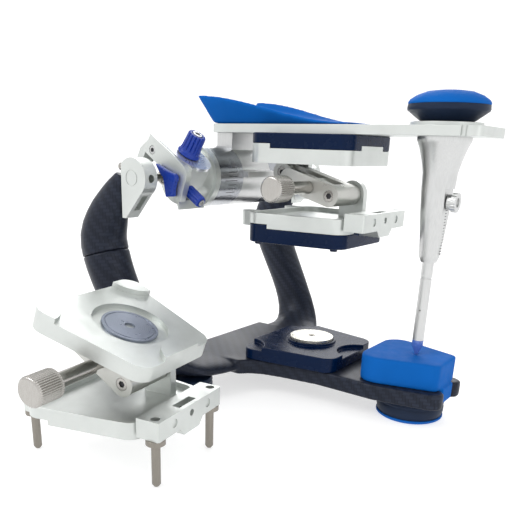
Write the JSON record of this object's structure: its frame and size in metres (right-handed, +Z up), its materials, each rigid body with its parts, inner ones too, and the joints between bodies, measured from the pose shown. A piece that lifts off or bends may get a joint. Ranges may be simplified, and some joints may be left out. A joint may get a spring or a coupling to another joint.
{
  "type": "dental articulator",
  "caption": "Dental articulator with a carbon base and uprights, sloped condylar boxes, a hinged upper arm with an incisal pin, a hung model aligner and a second aligner standing beside it",
  "frame": {"origin": "on the table, under the incisal pin, at the middle of the front foot", "axes": "+X from the condyles to the incisal pin (front), +Y to the side away from the second aligner, +Z up"},
  "size_m": [0.1725, 0.2544, 0.1492],
  "materials": {
    "carbon": "satin clear coat over woven carbon",
    "silver": "matte anodised",
    "polished": "fine brushed",
    "steel": "turned",
    "navy": "smooth",
    "blue": "smooth",
    "knob_blue": "anodised look, satin",
    "dark_grey": "satin",
    "pad_rubber": "matte",
    "magnet": "ground face",
    "tip": "clear tinted"
  },
  "bodies": {
    "lower_frame": {"lower_frame": "carbon", "right_upright": "carbon", "left_upright": "carbon", "feet": "dark_grey", "foot_pads": "pad_rubber", "foot_screws": "steel", "lower_mount_plate": "navy", "lower_magnet": "magnet", "lower_magnet_screw": "steel", "incisal_table": "blue", "right_condyle_housing": "silver", "left_condyle_housing": "silver", "housing_screws": "steel", "right_condyle": "steel", "left_condyle": "steel"},
    "upper_frame": {"upper_arm": "silver", "transverse_beam": "polished", "right_scale_drum": "polished", "left_scale_drum": "polished", "arm_screws": "steel", "rear_rest": "blue", "rest_pad_base": "dark_grey", "rest_pad_cap": "blue", "upper_mount_plate": "navy", "incisal_post": "polished", "hung_top_plate": "silver", "hung_magnet": "magnet", "hung_top_pin": "steel"},
    "incisal_pin": {"incisal_pin": "steel", "pin_shank": "steel", "pin_tip": "tip"},
    "pin_thumb_screw": {"pin_thumb_screw": "steel"},
    "right_fossa": {"right_fossa_box": "silver", "right_bennett_plate": "polished"},
    "left_fossa": {"left_fossa_box": "silver", "left_bennett_plate": "polished"},
    "right_bennett_knob": {"right_bennett_knob": "knob_blue"},
    "left_bennett_knob": {"left_bennett_knob": "knob_blue"},
    "right_shift_knob": {"right_shift_knob": "knob_blue"},
    "left_shift_knob": {"left_shift_knob": "knob_blue"},
    "right_lock_lever": {"right_lock_lever": "knob_blue"},
    "left_lock_lever": {"left_lock_lever": "knob_blue"},
    "hung_link": {"hung_link": "silver"},
    "hung_clamp_knob": {"hung_clamp_knob": "steel"},
    "hung_base": {"hung_base_plate": "silver", "hung_crossbar": "silver", "hung_base_pin": "steel", "hung_model_plate": "navy", "hung_studs": "navy"},
    "bench_base": {"bench_base_plate": "silver", "bench_crossbar": "silver", "bench_base_pin": "steel", "bench_legs": "steel"},
    "bench_link": {"bench_link": "silver"},
    "bench_clamp_knob": {"bench_clamp_knob": "steel"},
    "bench_top": {"bench_top_plate": "silver", "bench_magnet": "magnet", "bench_top_pin": "steel"}
  },
  "joints": [
    {"name": "upper_frame_opening", "type": "hinge", "parent": "lower_frame", "child": "upper_frame", "pos_m": [-0.115, 0, 0.109], "axis": [0, -1, 0], "range_deg": [0, 75]},
    {"name": "incisal_pin_height", "type": "slide", "parent": "upper_frame", "child": "incisal_pin", "axis": [0, 0, 1], "range_m": [0, 0.012]},
    {"name": "pin_thumb_screw_turn", "type": "hinge", "parent": "upper_frame", "child": "pin_thumb_screw", "pos_m": [0, 0, 0.1035], "axis": [1, 0, 0], "continuous": true},
    {"name": "right_inclination", "type": "hinge", "parent": "upper_frame", "child": "right_fossa", "pos_m": [-0.115, -0.038, 0.109], "axis": [0, 1, 0], "range_deg": [-12, 27]},
    {"name": "right_bennett_turn", "type": "hinge", "parent": "right_fossa", "child": "right_bennett_knob", "pos_m": [-0.10243, -0.049, 0.12468], "axis": [0.5446, 0, 0.8387], "continuous": true},
    {"name": "right_shift_turn", "type": "hinge", "parent": "right_fossa", "child": "right_shift_knob", "pos_m": [-0.1052, -0.053, 0.10573], "axis": [0.8387, 0, -0.5446], "continuous": true},
    {"name": "right_lock_swing", "type": "hinge", "parent": "right_fossa", "child": "right_lock_lever", "pos_m": [-0.10346, -0.062, 0.10914], "axis": [0, 1, 0], "range_deg": [0, 35]},
    {"name": "left_inclination", "type": "hinge", "parent": "upper_frame", "child": "left_fossa", "pos_m": [-0.115, 0.038, 0.109], "axis": [0, 1, 0], "range_deg": [-12, 27]},
    {"name": "left_bennett_turn", "type": "hinge", "parent": "left_fossa", "child": "left_bennett_knob", "pos_m": [-0.10243, 0.049, 0.12468], "axis": [0.5446, 0, 0.8387], "continuous": true},
    {"name": "left_shift_turn", "type": "hinge", "parent": "left_fossa", "child": "left_shift_knob", "pos_m": [-0.1052, 0.053, 0.10573], "axis": [0.8387, 0, -0.5446], "continuous": true},
    {"name": "left_lock_swing", "type": "hinge", "parent": "left_fossa", "child": "left_lock_lever", "pos_m": [-0.10346, 0.062, 0.10914], "axis": [0, 1, 0], "range_deg": [0, 35]},
    {"name": "hung_top_swing", "type": "hinge", "parent": "upper_frame", "child": "hung_link", "pos_m": [-0.08298, 0.005, 0.1123], "axis": [0, 1, 0], "range_deg": [-8, 8]},
    {"name": "hung_clamp_turn", "type": "hinge", "parent": "hung_link", "child": "hung_clamp_knob", "pos_m": [-0.06123, -0.03, 0.10615], "axis": [0, 1, 0], "continuous": true},
    {"name": "hung_base_swing", "type": "hinge", "parent": "hung_link", "child": "hung_base", "pos_m": [-0.0494, 0.005, 0.1028], "axis": [0, 1, 0], "range_deg": [-8, 8]},
    {"name": "bench_unit_lift", "type": "slide", "parent": "lower_frame", "child": "bench_base", "axis": [0, 0, 1], "range_m": [0, 0.12]},
    {"name": "bench_link_swing", "type": "hinge", "parent": "bench_base", "child": "bench_link", "pos_m": [-0.07175, -0.11356, 0.0345], "axis": [-0.1478, 0.989, 0], "range_deg": [-10, 12]},
    {"name": "bench_clamp_turn", "type": "hinge", "parent": "bench_link", "child": "bench_clamp_knob", "pos_m": [-0.07671, -0.14969, 0.04131], "axis": [-0.1478, 0.989, 0], "continuous": true},
    {"name": "bench_top_swing", "type": "hinge", "parent": "bench_link", "child": "bench_top", "pos_m": [-0.1005, -0.11786, 0.05381], "axis": [-0.1478, 0.989, 0], "range_deg": [-15, 8]}
  ]
}
